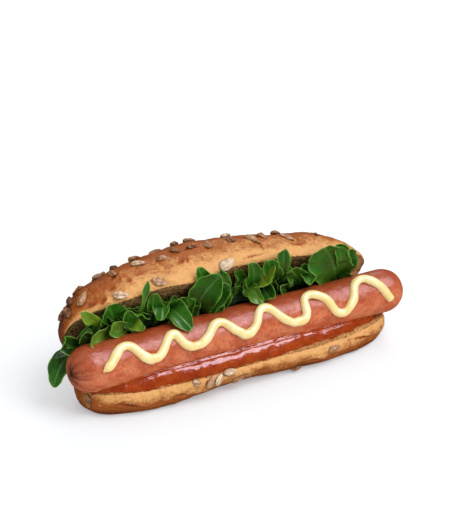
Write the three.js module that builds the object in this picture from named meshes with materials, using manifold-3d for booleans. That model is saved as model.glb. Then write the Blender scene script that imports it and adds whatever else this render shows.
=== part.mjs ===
// A dressed hot dog: a seeded whole-grain bun, cut from the front and hinged along its back, holding
// a long frankfurter with a mayonnaise zigzag, a bead of ketchup and a ruffle of green lettuce.
//
// Frame: +X runs along the bun, -Y is the open front, +Z is up. The origin is the middle of the
// flat underside. Lengths are millimetres, angles are degrees unless a name says otherwise.

import * as THREE from "three";
import Module from "manifold-3d";

const wasm = await Module();
wasm.setup();

// ---------- Driving dimensions ----------

const GAP = 0.3; // air between neighbouring foods

const BUN = {
  halfWidth: 28,
  crownMiddle: 3.5, // middle of the top half along X
  crownHalfLength: 96,
  crownSlip: 6, // its right end lies towards the hinge by this much
  crownHeight: 32.6, // crust above the cut
  heelMiddle: 5, // middle of the bottom half along X
  heelHalfLength: 95,
  heelDrop: 18, // crust below the cut, before the floor flattens it
  cutHeight: 14, // cut face of the bottom half above the floor
  lipFall: 0.5, // the cut face falls by this much to the front lip
  hingeRise: 4.5, // hinge above the cut face
  hingeY: 22,
  open: 60, // the top half is swung back by this much
};

const SAUSAGE = {
  left: -99,
  right: 109,
  radius: 12.5,
  y: -8,
  z: 26.8,
  cap: 13, // length of each rounded end
  creases: 12, // folds of the casing gathered at the left end
  creaseDepth: 0.45,
  creaseReach: 9,
};

const MAYO = {
  radius: 2.45,
  centre: 13.3, // distance of its centre line from the sausage axis
  roundness: 0.68, // of its bends
};

const KETCHUP = {
  left: -88,
  right: 89,
  back: -10.8, // back edge, under the sausage
  reach: 0.865, // front edge, as a share of the bottom half's width
  z: 15, // height of its front edge where it is full
  halfHeight: 6.6,
  thin: 0.42, // how full it is at its ends
  tuckDown: 1.6, // the front edge of a thin bead lies lower by this much
  drawBack: 0.09, // how much it draws back from the lip at the right, as a share of its width
};

const LEAF = {
  thickness: 1,
  tip: 0.4, // half width at the very tip
  cup: 0.2, // edges stand about this share of the width in front of the midrib
  ruffle: 0.8,
  wave: 11, // length of a ruffle along the edge
  twist: 40, // turn from root to tip, at most
  bow: 0.16, // sideways bend, at most, as a share of the width
  uneven: 0.16, // one half of a leaf is wider than the other by this share, at most
  widths: [8, 12, 30], // small, middling and broad leaves
};

const SEED = { thickness: 2.4, sides: 6 };

// Turning points of the mayonnaise, as [distance along X, angle round the sausage from the front].
const ZIGZAG = [
  [-85, 16], [-81, 26], [-70, 59], [-61, 22], [-57, 15], [-52, 21], [-43, 57], [-37, 26], [-31, 18],
  [-25, 27], [-15, 57], [-6, 26], [-1, 13], [5, 25], [14, 63.5], [25, 20], [31, 10], [37.4, 19],
  [40.8, 63], [51, 51], [59, 4], [68, 21], [76, 69], [86.5, 54], [95, 0],
];

// Seeds that stand out: [distance along X, angle over the crust from the front lip, length, width, turn].
const CROWN_SEEDS = [
  [-89, 37, 9, 4.5, 73], [-85, 52, 8, 4, 50], [-81, 26, 10, 4.5, 40], [-90, 64, 7, 4, 15],
  [-77, 58, 6, 3.5, 80], [-64, 62, 9, 4, 10], [-60, 41, 7, 4, 85], [-54, 66, 6, 4, 100],
  [-45, 37, 8.5, 4.2, -18], [-41, 62, 8, 4, 10], [-33, 36, 6, 3.6, 86], [-30, 33, 7, 4, -60],
  [-28, 63, 8, 3.6, 5], [-22, 40, 7, 4, -70], [-15, 64, 6.5, 4, 30], [-7, 60, 7.5, 3.5, -8],
  [-12, 37, 6, 3, 8], [-3, 34, 9, 4.5, 80], [11, 34, 7.5, 4.5, 85], [15, 58, 9, 4.5, 30],
  [23, 29, 11, 4.5, -70], [31, 36, 7, 4, -80], [43, 50, 6, 3, 0], [44, 28, 9, 4, -55],
  [64, 32, 5, 2.8, -90], [-42, 5, 9, 5, -28], [-1, 3, 10, 5.5, 16], [-64, 5, 8, 4.5, -25],
];
const HEEL_SEEDS = [
  [-89, 15, 8, 5, 69], [-35, 3, 5, 4, 26], [-27, 7, 7.5, 3.6, -40], [-22, 8, 7, 3.6, -42],
  [-14, 3, 9, 4, 4], [-8, 23, 10, 4.5, -13], [52, 7, 8.5, 3.6, -15], [29, 33, 6, 3, -30],
];
const BACK_SEEDS = 16; // more seeds, scattered over the back of the top half
const BACK_SEED_DRAW = 41;

// Leaves: [root x, y, z, tip x, y, z, width, forward bend of the midrib, turn about the midrib, point],
// a point running from 0, round, to 1, a spear.
const LEAVES = [
  [-87, 8, 31, -103, 3, 15, 11, 5, 10, 0.7], [-84, 8, 30, -100, 0, 43, 9.5, 1, 20, 0.4],
  [-78, 6, 32, -88, -1, 44, 9, 1, 0, 0.2], [-68, 4, 38, -88, -7.5, 41.5, 10, 2, -25, 0.15],
  [-68, 5, 40, -89.5, -4, 58.3, 7, 1.5, -40, 1], [-64, 7, 37, -73, -1, 57, 17, 1, 5, 0.35],
  [-58, 4, 40, -77, -6, 44.7, 9, 2, -30, 0.7], [-58, 4, 43, -55, -10, 40.5, 8, 1.5, 0, 1],
  [-46, 5, 37, -64, -5, 54, 11, 1.5, -20, 0.35], [-55, 4, 39, -50.5, -5, 66.3, 3.8, 3, 10, 1],
  [-40, 7, 38, -47, -3, 59.5, 10, 2, 0, 1], [-36, 6, 38, -31, -4, 55, 12, 2, 20, 0.4],
  [-38, 5, 43, -30.5, -16.5, 38, 11.5, 5, -10, 0.5], [-15.5, -3, 47.5, -21, -4.3, 67.4, 8, 0.5, 0, 0.7],
  [-20, 3, 39, -9, -9.5, 62.5, 16, 3, 18, 0.5], [0, 4, 39, -7, -6, 64, 6.5, 3, 15, 0.8],
  [-12, 5, 42, -5, -8, 41, 8, 2, 10, 0.5], [15, 8, 42, 3, 0, 57, 8, 1, 0, 0.3],
  [19, 7, 40, 11, -5, 63, 10, 3, 10, 0.5], [36, 6, 42, 20, -6, 64.5, 10, 3, -20, 0.5],
  [20, 4, 42, 27, -7, 59, 9, 2, -30, 0.2], [17, 4, 42, 25, -8, 46.5, 10, 3.5, -20, 0.6],
  [19, 6, 48, 11, -3, 40, 8, 2, 0, 0.2], [13, 5, 44, 15, -12, 41, 8.5, 3, 0, 0.4],
  [26, 5, 44, 22, -12, 40, 10, 2.5, 10, 0.2], [38, 4, 45, 30, -7, 69, 7.5, 4, 0, 0.7],
  [53, 8, 32, 38, -3, 53, 12, 2, -20, 0.3], [51, 6, 48, 46, -8, 40.5, 12, 2.5, 0, 0.8],
  [73, 5, 31, 55.5, -8, 65.5, 23, 3, 5, 0], [73, 1, 46, 63.5, -10, 65.3, 8.5, 5, 0, 0.1],
  [77, 5, 35, 77, -6, 58.6, 9.5, 2, 0, 0.9], [73, 6, 32, 80, -4, 40, 6.5, 1, 0, 0.5],
  [-18, 4, 37, -3.5, -7.5, 55.5, 14, 2.5, 10, 0.5], [-30, 5, 38, -22, -5, 48.5, 8, 1.5, 0, 0.4],
];

// Facets: enough to hold the true outline, few enough to stay light.
const FACETS = {
  crownStations: 28, crownRound: 14, crownCut: 4,
  heelStations: 26, heelRound: 12, heelCut: 7,
  sausageStations: 28, sausageRound: 24,
  mayoStep: 3.2, mayoRound: 7,
  ketchupStations: 24, ketchupRound: 9,
  coreStations: 14,
  leafLong: [4, 4, 5], leafAcross: [2, 3, 4], // for small, middling and broad leaves
  tidy: 0.05, // detail smaller than this is merged
  leafTidy: 0.45,
};

// ---------- Small tools ----------

const rad = THREE.MathUtils.degToRad;
const ease = (t) => THREE.MathUtils.smoothstep(t, 0, 1);
const bump = (x, at, wide) => Math.exp(-(((x - at) / wide) ** 2));
const fullness = (t, power) => Math.max(0, 1 - Math.abs(t) ** power) ** (1 / power);
const signedPower = (v, power) => Math.sign(v) * Math.abs(v) ** power;

// A repeatable stream of numbers from 0 to 1.
function draws(start) {
  let state = start >>> 0;
  return () => {
    state = (Math.imul(state, 1664525) + 1013904223) >>> 0;
    return state / 2 ** 32;
  };
}

// Positions along a length, closer together towards both ends.
function stations(middle, half, count) {
  const list = [];
  for (let i = 0; i <= count; i += 1) list.push(middle - half * Math.cos((Math.PI * i) / count));
  return list;
}

// A solid from points and triangles, turned the right way out.
function solid(points, triangles) {
  let volume = 0;
  for (const [a, b, c] of triangles) {
    volume += points[a].dot(new THREE.Vector3().crossVectors(points[b], points[c]));
  }
  const ordered = volume > 0 ? triangles : triangles.map(([a, b, c]) => [a, c, b]);
  const mesh = new wasm.Mesh({
    numProp: 3,
    vertProperties: new Float32Array(points.flatMap((p) => [p.x, p.y, p.z])),
    triVerts: new Uint32Array(ordered.flat()),
  });
  return new wasm.Manifold(mesh);
}

// A closed skin through rings of equal count, with a pole closing each end.
function skin(rings, startPole, endPole) {
  const count = rings[0].length;
  const points = rings.flat().concat([startPole, endPole]);
  const start = points.length - 2;
  const end = points.length - 1;
  const last = (rings.length - 1) * count;
  const triangles = [];
  for (let j = 0; j < count; j += 1) {
    const k = (j + 1) % count;
    triangles.push([start, k, j], [end, last + j, last + k]);
    for (let i = 0; i < last; i += count) {
      triangles.push([i + j, i + k, i + count + k], [i + j, i + count + k, i + count + j]);
    }
  }
  return solid(points, triangles);
}

// The main body of a solid: loose scraps and sealed hollows are left behind.
function mainBody(shape) {
  const pieces = shape.simplify(FACETS.tidy).decompose();
  return pieces.reduce((best, piece) => (piece.volume() > best.volume() ? piece : best));
}

// ---------- Bun ----------

// How far the torn front edge of the top half hangs below its cut.
function lipDrop(x) {
  return 0.6 + 2.2 * bump(x, -26, 14) + 1.6 * bump(x, -62, 14) + 2.2 * bump(x, 56, 16) - bump(x, 0, 12);
}

// Soft unevenness of a baked crust, as a factor near 1.
function crustSwell(x, theta) {
  return 1 + 0.014 * Math.sin(0.085 * x + 2.1 * theta) + 0.009 * Math.sin(0.19 * x - 3.2 * theta + 1);
}

// Swings a point of the closed top half back about the hinge.
function swing(x, y, z) {
  const hingeZ = BUN.cutHeight + BUN.hingeRise;
  const c = Math.cos(rad(BUN.open));
  const s = Math.sin(rad(BUN.open));
  const dy = y - BUN.hingeY;
  return new THREE.Vector3(x, BUN.hingeY + dy * c + z * s, hingeZ - dy * s + z * c);
}

// How far the middle of the top half lies towards the hinge at a place along it.
function crownSlip(t) {
  return BUN.crownSlip * ease((t - 0.6) / 0.4);
}

// Crust of the top half: theta runs from the front lip, 0, over the crest to the back, pi.
function crownPoint(x, theta, grow = 0) {
  const t = (x - BUN.crownMiddle) / BUN.crownHalfLength;
  const full = fullness(t, t < 0 ? 2.9 : 2.6);
  const width = BUN.halfWidth * full + grow;
  const taper = 1.06 - 0.26 * ease((t + 0.25) / 1.25);
  const height = BUN.crownHeight * fullness(t, t < 0 ? 2.4 : 2) * taper + grow;
  const swell = crustSwell(x, theta);
  let y = -width * signedPower(Math.cos(theta), 0.9) * swell;
  let z = height * Math.max(0, Math.sin(theta)) ** 0.9 * swell;
  y *= 1 - 0.06 * Math.max(0, 1 - z / 6) ** 2;
  const front = ease(0.5 - y / (2 * Math.max(width, 0.1)));
  z -= lipDrop(x) * front * full * (1 - Math.min(1, z / Math.max(height, 0.1)));
  return swing(x, y + crownSlip(t), z - grow * (1 - Math.sin(theta)));
}

// Rings of a bun half: the crust from lip to lip, then the crumb straight back between the lips.
function halfRing(x, point, round, cut, crumb) {
  const ring = [];
  for (let j = 0; j <= round; j += 1) ring.push(point(x, (Math.PI * j) / round));
  const front = ring[0];
  const back = ring[round];
  for (let j = 1; j < cut; j += 1) ring.push(crumb(back.clone().lerp(front, j / cut), j / cut));
  return ring;
}

function crown(grow = 0) {
  const half = BUN.crownHalfLength + grow;
  const along = stations(BUN.crownMiddle, half * 0.9985, FACETS.crownStations);
  const point = (x, theta) => crownPoint(x * (BUN.crownHalfLength / half), theta, grow).setX(x);
  const crumb = (p, share) => {
    const rise = Math.sin(Math.PI * share);
    return p.add(new THREE.Vector3(0, 0.8 * rise, 0.5 * rise));
  };
  const rings = along.map((x) => halfRing(x, point, FACETS.crownRound, FACETS.crownCut, crumb));
  const pole = (side) => swing(BUN.crownMiddle + side * half, crownSlip(side), 0.5);
  return skin(rings, pole(-1), pole(1));
}

// How far the cut face of the bottom half climbs towards the hinge.
function climb(y) {
  return BUN.hingeRise * ease((y + 4) / 26);
}

// Height of the bottom half's cut face: falling to the front lip, flat under the sausage, rising behind.
function cutHeight(y) {
  return BUN.cutHeight + climb(y) - BUN.lipFall * ease((-16 - y) / 9);
}

// Half width of the bottom half at a place along it.
function heelWidth(x) {
  return BUN.halfWidth * fullness((x - BUN.heelMiddle) / BUN.heelHalfLength, 3);
}

// Crust of the bottom half: theta runs from the front lip, 0, under the floor side to the back, pi.
function heelPoint(x, theta, grow = 0) {
  const t = (x - BUN.heelMiddle) / BUN.heelHalfLength;
  const width = heelWidth(x) + grow;
  const power = 1.12 - 0.47 * ease(Math.abs(t + 0.08) / 0.8);
  let y = -width * signedPower(Math.cos(theta), power) * crustSwell(x, theta + 2);
  const drop = (BUN.heelDrop + climb(y)) * fullness(t, 6);
  const depth = drop * Math.max(0, Math.sin(theta)) ** power * crustSwell(x + 40, theta);
  y *= 1 - 0.09 * Math.max(0, 1 - depth / 5) ** 2;
  return new THREE.Vector3(x, y, Math.max(0, cutHeight(y) + grow - depth));
}

function heel(grow = 0) {
  const half = BUN.heelHalfLength + grow;
  const along = stations(BUN.heelMiddle, half * 0.9985, FACETS.heelStations);
  const point = (x, theta) => heelPoint(x * (BUN.heelHalfLength / half), theta, grow).setX(x);
  const crumb = (p) => p.setZ(cutHeight(p.y) + grow);
  const rings = along.map((x) => halfRing(x, point, FACETS.heelRound, FACETS.heelCut, crumb));
  const pole = (x) => new THREE.Vector3(x, 0, BUN.cutHeight - 1);
  return skin(rings, pole(BUN.heelMiddle - half), pole(BUN.heelMiddle + half));
}

// A flat pointed seed lying on a surface.
function seed(centre, along, up, length, width, grow = 0) {
  const side = new THREE.Vector3().crossVectors(up, along).normalize();
  const at = (a, s, u) => {
    const onAxis = centre.clone().addScaledVector(along, a);
    return onAxis.addScaledVector(side, s).addScaledVector(up, u);
  };
  const rings = [[-0.22, 0.94], [0.2, 0.78]].map(([share, girth]) => {
    const ring = [];
    for (let j = 0; j < SEED.sides; j += 1) {
      const turn = (2 * Math.PI * j) / SEED.sides;
      const s = (width / 2 + grow) * girth * Math.cos(turn);
      ring.push(at(share * length, s, (SEED.thickness / 2 + grow) * girth * Math.sin(turn)));
    }
    return ring;
  });
  return skin(rings, at(-length / 2 - grow, 0, 0), at(length / 2 + grow, 0, 0));
}

// Lays a seed on a crust, its length turned from +X towards the growing angle.
function seedOn(point, x, theta, length, width, turn, grow) {
  const step = 0.01;
  const centre = point(x, theta);
  const alongX = point(x + step, theta).sub(point(x - step, theta)).normalize();
  const over = point(x, theta + step).sub(point(x, theta - step)).normalize();
  const up = new THREE.Vector3().crossVectors(alongX, over).normalize();
  const inside = new THREE.Vector3(x, centre.y < 0 ? 0 : centre.y * 0.5, centre.z).sub(centre);
  if (point === crownPoint ? up.dot(swing(x, 0, 0).sub(centre)) > 0 : up.dot(inside) > 0) up.negate();
  const along = alongX.multiplyScalar(Math.cos(rad(turn))).addScaledVector(over, Math.sin(rad(turn)));
  along.addScaledVector(up, -along.dot(up)).normalize();
  centre.addScaledVector(up, 0.3);
  return seed(centre, along, up, length, width, grow);
}

// Seeds on the back of the top half, denser to the left, where the baker's scoop fell.
function backSeedRows() {
  const next = draws(BACK_SEED_DRAW);
  const rows = [];
  for (let i = 0; i < BACK_SEEDS; i += 1) {
    const x = -82 + 140 * next() ** 1.5;
    rows.push([x, 78 + 70 * next(), 6 + 3 * next(), 3.4 + 1.2 * next(), 180 * next()]);
  }
  return rows;
}

function bun(grow = 0) {
  let shape = crown(grow).add(heel(grow));
  for (const [x, angle, length, width, turn] of CROWN_SEEDS.concat(backSeedRows())) {
    shape = shape.add(seedOn(crownPoint, x, rad(angle), length, width, turn, grow));
  }
  for (const [x, angle, length, width, turn] of HEEL_SEEDS) {
    shape = shape.add(seedOn(heelPoint, x, rad(angle), length, width, turn, grow));
  }
  return mainBody(shape);
}

// ---------- Sausage and mayonnaise ----------

function sausageRadius(x) {
  const fromEnd = Math.min(x - SAUSAGE.left, SAUSAGE.right - x) / SAUSAGE.cap;
  return SAUSAGE.radius * (fromEnd >= 1 ? 1 : fullness(1 - fromEnd, 2.2));
}

// A point round the sausage: angle 0 faces the front, 90 degrees is its top.
function roundSausage(x, angle, radius) {
  return new THREE.Vector3(x, SAUSAGE.y - radius * Math.cos(angle), SAUSAGE.z + radius * Math.sin(angle));
}

function sausage(grow = 0) {
  const middle = (SAUSAGE.left + SAUSAGE.right) / 2;
  const half = (SAUSAGE.right - SAUSAGE.left) / 2;
  const rings = [];
  for (let i = 0; i <= FACETS.sausageStations; i += 1) {
    const share = -1 + (2 * i) / FACETS.sausageStations;
    const x = middle + 0.9995 * half * Math.sin((Math.PI / 2) * signedPower(share, 0.62));
    const crease = SAUSAGE.creaseDepth * Math.exp(-(x - SAUSAGE.left) / SAUSAGE.creaseReach);
    const ring = [];
    for (let j = 0; j < FACETS.sausageRound; j += 1) {
      const angle = (2 * Math.PI * j) / FACETS.sausageRound;
      const fold = crease * (grow ? 1 : Math.cos(SAUSAGE.creases * angle));
      ring.push(roundSausage(x, angle, sausageRadius(x) + grow + fold));
    }
    rings.push(ring);
  }
  const pole = (x) => new THREE.Vector3(x, SAUSAGE.y, SAUSAGE.z);
  return skin(rings, pole(SAUSAGE.left - grow), pole(SAUSAGE.right + grow));
}

function mayo(grow = 0) {
  const route = ZIGZAG.map(([x, angle]) => roundSausage(x, rad(angle), MAYO.centre));
  const curve = new THREE.CatmullRomCurve3(route, false, "catmullrom", MAYO.roundness);
  const steps = Math.round(curve.getLength() / FACETS.mayoStep);
  const rings = [];
  for (let i = 0; i <= steps; i += 1) {
    const centre = curve.getPointAt(i / steps);
    const heading = curve.getTangentAt(i / steps);
    const out = new THREE.Vector3(0, centre.y - SAUSAGE.y, centre.z - SAUSAGE.z).normalize();
    const side = new THREE.Vector3().crossVectors(heading, out).normalize();
    const lift = new THREE.Vector3().crossVectors(side, heading).normalize();
    const fade = ease(0.25 + i / 4) * ease(0.55 + (steps - i) / 3);
    const radius = MAYO.radius * fade + grow;
    const ring = [];
    for (let j = 0; j < FACETS.mayoRound; j += 1) {
      const turn = (2 * Math.PI * j) / FACETS.mayoRound;
      const offset = side.clone().multiplyScalar(radius * Math.cos(turn));
      ring.push(centre.clone().add(offset).addScaledVector(lift, radius * Math.sin(turn)));
    }
    rings.push(ring);
  }
  const before = curve.getPointAt(0).addScaledVector(curve.getTangentAt(0), -1 - grow);
  const after = curve.getPointAt(1).addScaledVector(curve.getTangentAt(1), 1 + grow);
  return skin(rings, before, after);
}

// ---------- Ketchup ----------

// How full the bead is along the bun: thin under the left end of the sausage, full from the middle on.
function ketchupFill(x) {
  const full = ease((x - KETCHUP.left) / 34) * ease((KETCHUP.right - x) / 16);
  const lumps = 0.03 * Math.sin(0.21 * x) + 0.02 * Math.sin(0.47 * x + 1);
  return KETCHUP.thin + (1 - KETCHUP.thin) * full + lumps;
}

// Front edge of the bead: it follows the lip of the bun and draws back from it at the right.
function ketchupFront(x) {
  return -KETCHUP.reach * heelWidth(x) * (1 - KETCHUP.drawBack * ease((x - 12) / 36));
}

// The bead slopes from the sausage to the front lip and ends there in a blunt edge.
function ketchup() {
  const middle = (KETCHUP.left + KETCHUP.right) / 2;
  const half = (KETCHUP.right - KETCHUP.left) / 2;
  const rings = stations(middle, half * 0.998, FACETS.ketchupStations).map((x) => {
    const end = fullness((x - middle) / half, 8);
    const fill = ketchupFill(x);
    const front = ketchupFront(x);
    const depth = ((KETCHUP.back - front) / 2) * end;
    const height = KETCHUP.halfHeight * (1 - 0.22 * ease((x - 20) / 50)) * fill * end;
    const centreZ = KETCHUP.z - KETCHUP.tuckDown * (1 - fill);
    const ring = [];
    for (let j = 0; j < FACETS.ketchupRound; j += 1) {
      const turn = (2 * Math.PI * (j + 0.5)) / FACETS.ketchupRound;
      const c = Math.cos(turn);
      const s = Math.sin(turn);
      const power = c > 0 ? (s > 0 ? 1 : 0.55) : 0.85;
      const y = (KETCHUP.back + front) / 2 - depth * signedPower(c, power);
      ring.push(new THREE.Vector3(x, y, centreZ + height * signedPower(s, power)));
    }
    return ring;
  });
  const pole = (x) => new THREE.Vector3(x, (KETCHUP.back + ketchupFront(x)) / 2, 16.4);
  return skin(rings, pole(KETCHUP.left), pole(KETCHUP.right));
}

// ---------- Lettuce ----------

// The packed middle of the lettuce, in the mouth of the bun behind the sausage.
function lettuceCore() {
  const left = -92;
  const right = 82;
  const middle = (left + right) / 2;
  const half = (right - left) / 2;
  const rings = stations(middle, half * 0.99, FACETS.coreStations).map((x) => {
    const full = fullness((x - middle) / half, 3.4);
    const top = 41 + 2 * Math.sin(0.16 * x) + 1.2 * Math.sin(0.41 * x + 2);
    const section = [[6, 16.2], [14, 18.6], [12.5, 31], [6.5, top], [1.5, top], [1, 37], [5.3, 28]];
    return section.map(([y, z]) => new THREE.Vector3(x, 8 + (y - 8) * full, 28 + (z - 28) * full));
  });
  const pole = (x) => new THREE.Vector3(x, 8, 28);
  return skin(rings, pole(left), pole(right));
}

// A thin wavy leaf: a bent midrib, cupped like a spoon, ruffled towards its edge.
function leaf([rx, ry, rz, tx, ty, tz, width, bend, turn, point], number) {
  const root = new THREE.Vector3(rx, ry, rz);
  const rib = new THREE.Vector3(tx, ty, tz).sub(root);
  const along = rib.clone().normalize();
  const face = new THREE.Vector3(-0.35, -0.8, 0.45).projectOnPlane(along).normalize();
  face.applyAxisAngle(along, rad(turn));
  const twist = rad(LEAF.twist) * Math.sin(5.3 * number);
  const bow = LEAF.bow * width * Math.sin(2.9 * number + 1);
  const uneven = LEAF.uneven * Math.sin(1.9 * number + 2);
  const kind = LEAF.widths.findIndex((limit) => width < limit);
  const leafLong = FACETS.leafLong[kind];
  const leafAcross = FACETS.leafAcross[kind];
  const cup = LEAF.cup * (0.4 + ((0.618 * number) % 1));
  const middle = [];
  for (let i = 0; i <= leafLong; i += 1) {
    const t = 1 - (1 - i / leafLong) ** 1.6;
    const fromTip = (1 - t) * rib.length();
    const toward = 1 - Math.min(1, fromTip / (width * (0.5 + 0.7 * point)));
    const spread = fullness(toward, 2.6 - 1.2 * point) * (1 - 0.5 * ease((fromTip / width - 1) / 2.2));
    const half = Math.max(LEAF.tip, (width / 2) * spread);
    const front = face.clone().applyAxisAngle(along, twist * (t - 0.4));
    const side = new THREE.Vector3().crossVectors(along, front);
    for (let j = 0; j <= leafAcross; j += 1) {
      const s = -1 + (2 * j) / leafAcross;
      const across = s * half * (1 + uneven * Math.sign(s)) + bow * Math.sin(Math.PI * t);
      const out = Math.min(1, Math.hypot(s * spread, toward));
      const alongEdge = Math.tanh(4 * s) * fromTip + 0.8 * s * half;
      const wave = LEAF.ruffle * Math.sin((2 * Math.PI * alongEdge) / LEAF.wave + 2.1 * number);
      const lift = bend * Math.sin(Math.PI * t) + cup * width * out * out + wave * out ** 2.4;
      const onRib = root.clone().addScaledVector(rib, t);
      middle.push(onRib.addScaledVector(side, across).addScaledVector(front, lift));
    }
  }
  const row = leafAcross + 1;
  const within = (n, last) => Math.min(Math.max(n, 0), last);
  const at = (i, j) => middle[within(i, leafLong) * row + within(j, leafAcross)];
  const points = [];
  for (const sign of [1, -1]) {
    middle.forEach((p, n) => {
      const i = Math.floor(n / row);
      const j = n % row;
      const lengthwise = at(i + 1, j).clone().sub(at(i - 1, j));
      const across = at(i, j + 1).clone().sub(at(i, j - 1));
      const normal = lengthwise.cross(across).normalize();
      points.push(p.clone().addScaledVector(normal, (sign * LEAF.thickness) / 2));
    });
  }
  const back = middle.length;
  const triangles = [];
  for (let i = 0; i < leafLong; i += 1) {
    for (let j = 0; j < leafAcross; j += 1) {
      const a = i * row + j;
      const b = a + row;
      triangles.push([a, b, b + 1], [a, b + 1, a + 1]);
      triangles.push([back + a, back + b + 1, back + b], [back + a, back + a + 1, back + b + 1]);
    }
  }
  const rim = [];
  for (let j = 0; j < leafAcross; j += 1) rim.push(j);
  for (let i = 0; i < leafLong; i += 1) rim.push(i * row + leafAcross);
  for (let j = leafAcross; j > 0; j -= 1) rim.push(leafLong * row + j);
  for (let i = leafLong; i > 0; i -= 1) rim.push(i * row);
  rim.forEach((a, n) => {
    const b = rim[(n + 1) % rim.length];
    triangles.push([a, b, back + b], [a, back + b, back + a]);
  });
  return solid(points, triangles);
}

function lettuce() {
  let shape = lettuceCore();
  LEAVES.forEach((row, number) => {
    shape = shape.add(leaf(row, number));
  });
  return shape.simplify(FACETS.leafTidy);
}

// ---------- The hot dog ----------

function named(name, shape, color, roughness) {
  const { vertProperties, triVerts } = shape.getMesh();
  const geometry = new THREE.BufferGeometry();
  geometry.setAttribute("position", new THREE.BufferAttribute(vertProperties, 3));
  geometry.setIndex(new THREE.BufferAttribute(triVerts, 1));
  geometry.computeVertexNormals();
  const mesh = new THREE.Mesh(geometry, new THREE.MeshStandardMaterial({ color, roughness, metalness: 0 }));
  mesh.name = name;
  return mesh;
}

const roundBun = bun(GAP);
const roundSausageAndMayo = sausage(GAP).add(mayo(GAP));
const fitted = (shape) => mainBody(shape.subtract(roundSausageAndMayo).subtract(roundBun));

const group = new THREE.Group();
group.add(named("bun", bun(), 0xc98a4e, 0.75));
group.add(named("sausage", mainBody(sausage().add(mayo())), 0xbe6a40, 0.35));
group.add(named("ketchup", fitted(ketchup()), 0x98300a, 0.2));
group.add(named("lettuce", fitted(lettuce()), 0x24540f, 0.5));

export default group;
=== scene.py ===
"""Looks of a dressed hot dog: a seeded bun, a frankfurter, mayonnaise, ketchup and lettuce.

Row frame: +X along the bun, -Y the open front, +Z up. Lengths here are millimetres until a mesh is
made, and angles are degrees unless a name says otherwise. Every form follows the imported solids.
"""

import itertools
import math

import bpy
import numpy as np
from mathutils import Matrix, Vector


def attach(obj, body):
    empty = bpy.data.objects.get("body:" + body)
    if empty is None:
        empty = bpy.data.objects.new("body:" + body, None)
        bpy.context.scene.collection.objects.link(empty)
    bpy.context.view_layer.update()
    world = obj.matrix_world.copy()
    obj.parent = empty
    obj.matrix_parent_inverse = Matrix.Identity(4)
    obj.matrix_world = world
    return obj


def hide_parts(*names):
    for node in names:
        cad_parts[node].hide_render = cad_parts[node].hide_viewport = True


MM = 0.001
PICTURE = {"width": 450, "height": 519}

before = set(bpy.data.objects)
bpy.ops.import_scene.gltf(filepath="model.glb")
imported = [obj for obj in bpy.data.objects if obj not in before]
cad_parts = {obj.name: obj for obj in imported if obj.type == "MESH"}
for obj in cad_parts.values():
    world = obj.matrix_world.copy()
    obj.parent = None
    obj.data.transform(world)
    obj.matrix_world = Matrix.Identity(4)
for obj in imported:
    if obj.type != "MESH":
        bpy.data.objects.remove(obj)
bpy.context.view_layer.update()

# ---------- Driving dimensions, as in the solids ----------

BUN = {
    "half_width": 28,
    "crown_middle": 3.5,
    "crown_half_length": 96,
    "crown_slip": 6,  # the right end of the top half lies this far towards the hinge
    "crown_height": 32.6,
    "heel_middle": 5,
    "heel_half_length": 95,
    "heel_drop": 18,
    "cut_height": 14,
    "lip_fall": 0.5,
    "hinge_rise": 4.5,
    "hinge_y": 22,
    "open": 60,  # how far the top half is swung back
    "lip": 0.16,  # radians of crust that make its torn lip
    "pale_crumb": {"bun_top": 66, "bun_bottom": -110},  # where along X the crumb turns pale
    "last_ring": 0.9985,  # where the skin's last ring lies, as a share of the half length
}
SAUSAGE = {
    "left": -99,
    "right": 109,
    "radius": 12.5,
    "y": -8,
    "z": 26.8,
    "cap": 13,  # length of each rounded end
    "creases": 24,  # folds of the casing gathered at the left end
    "crease_depth": 1.4,
    "crease_width": 0.78,
    "crease_draw": 5,
}
MAYO = {
    "radius": 2.45,
    "centre": 13.3,  # distance of its centre line from the sausage axis
    "roundness": 0.68,  # of its bends
}
KETCHUP = {
    "left": -88,
    "right": 89,
    "back": -10.8,  # back edge, under the sausage
    "reach": 0.865,  # front edge, as a share of half the bottom half's width
    "z": 15,  # height of its middle where it is full
    "half_height": 6.6,
    "flatter": 0.22,  # share of its height that it loses to the right
    "thin": 0.42,  # how full it is at its ends
    "tuck_down": 1.6,  # how much lower its middle lies where it is thin
    "draw_back": 0.09,  # how much it draws back from the lip at the right
    "spill": 0.6,  # how far its front edge wanders
    "sag": 1.4,  # how far it hangs down over the front lip
    "clearance": 0.05,  # air kept between it and the casing and crust it lies against
    "soak": 0.8,  # how far it sinks into the open crumb
}
LEAF = {
    "thickness": 0.55,
    "face": (-0.35, -0.8, 0.45),  # the way a leaf with no turn looks
    "cup": 0.2,  # edges stand about this share of the width in front of the midrib
    "ruffle": 0.8,
    "wave": 11,  # length of a ruffle along the edge
    "roll": 1.0,
    "twist": 40,
    "bow": 0.16,  # sideways bend of the midrib, as a share of the width
    "uneven": 0.16,  # one side is wider by up to this share, the other narrower
}
CORE = {
    "left": -92,
    "right": 82,
    "y": 8,
    "z": 28,
    # Corners of its section, as y and z.
    "section": [(6, 16.2), (14, 18.6), (12.5, 31), (6.5, 41), (1.5, 41), (1, 37), (5.3, 28)],
    "top": 40,  # corners above this carry the waves of its top
    # A deep value of 1 paints the whole core dark, as painted shade.
    "look": {"vein": 0.0, "rim": 0.0, "deep": 1.0, "tint": 0.0},
}
FILLER = {"count": 54, "draw": 7, "left": -84, "right": 78}
SEED_THICKNESS = 2.4

# How finely each form is divided, along it and round or across it.
GRID = {
    "bun": (250, 130),
    "seed": (19, 28),
    "sausage": (320, 240),
    "mayo": (560, 22),
    "ketchup": (400, 140),
    "core": (200, 84),
    "leaf": (39, 25),
    "filler": (12, 9),
}
CRUMB_STEPS = 66
ROUTE_STEPS = 24  # between two turning points of the mayonnaise

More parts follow.
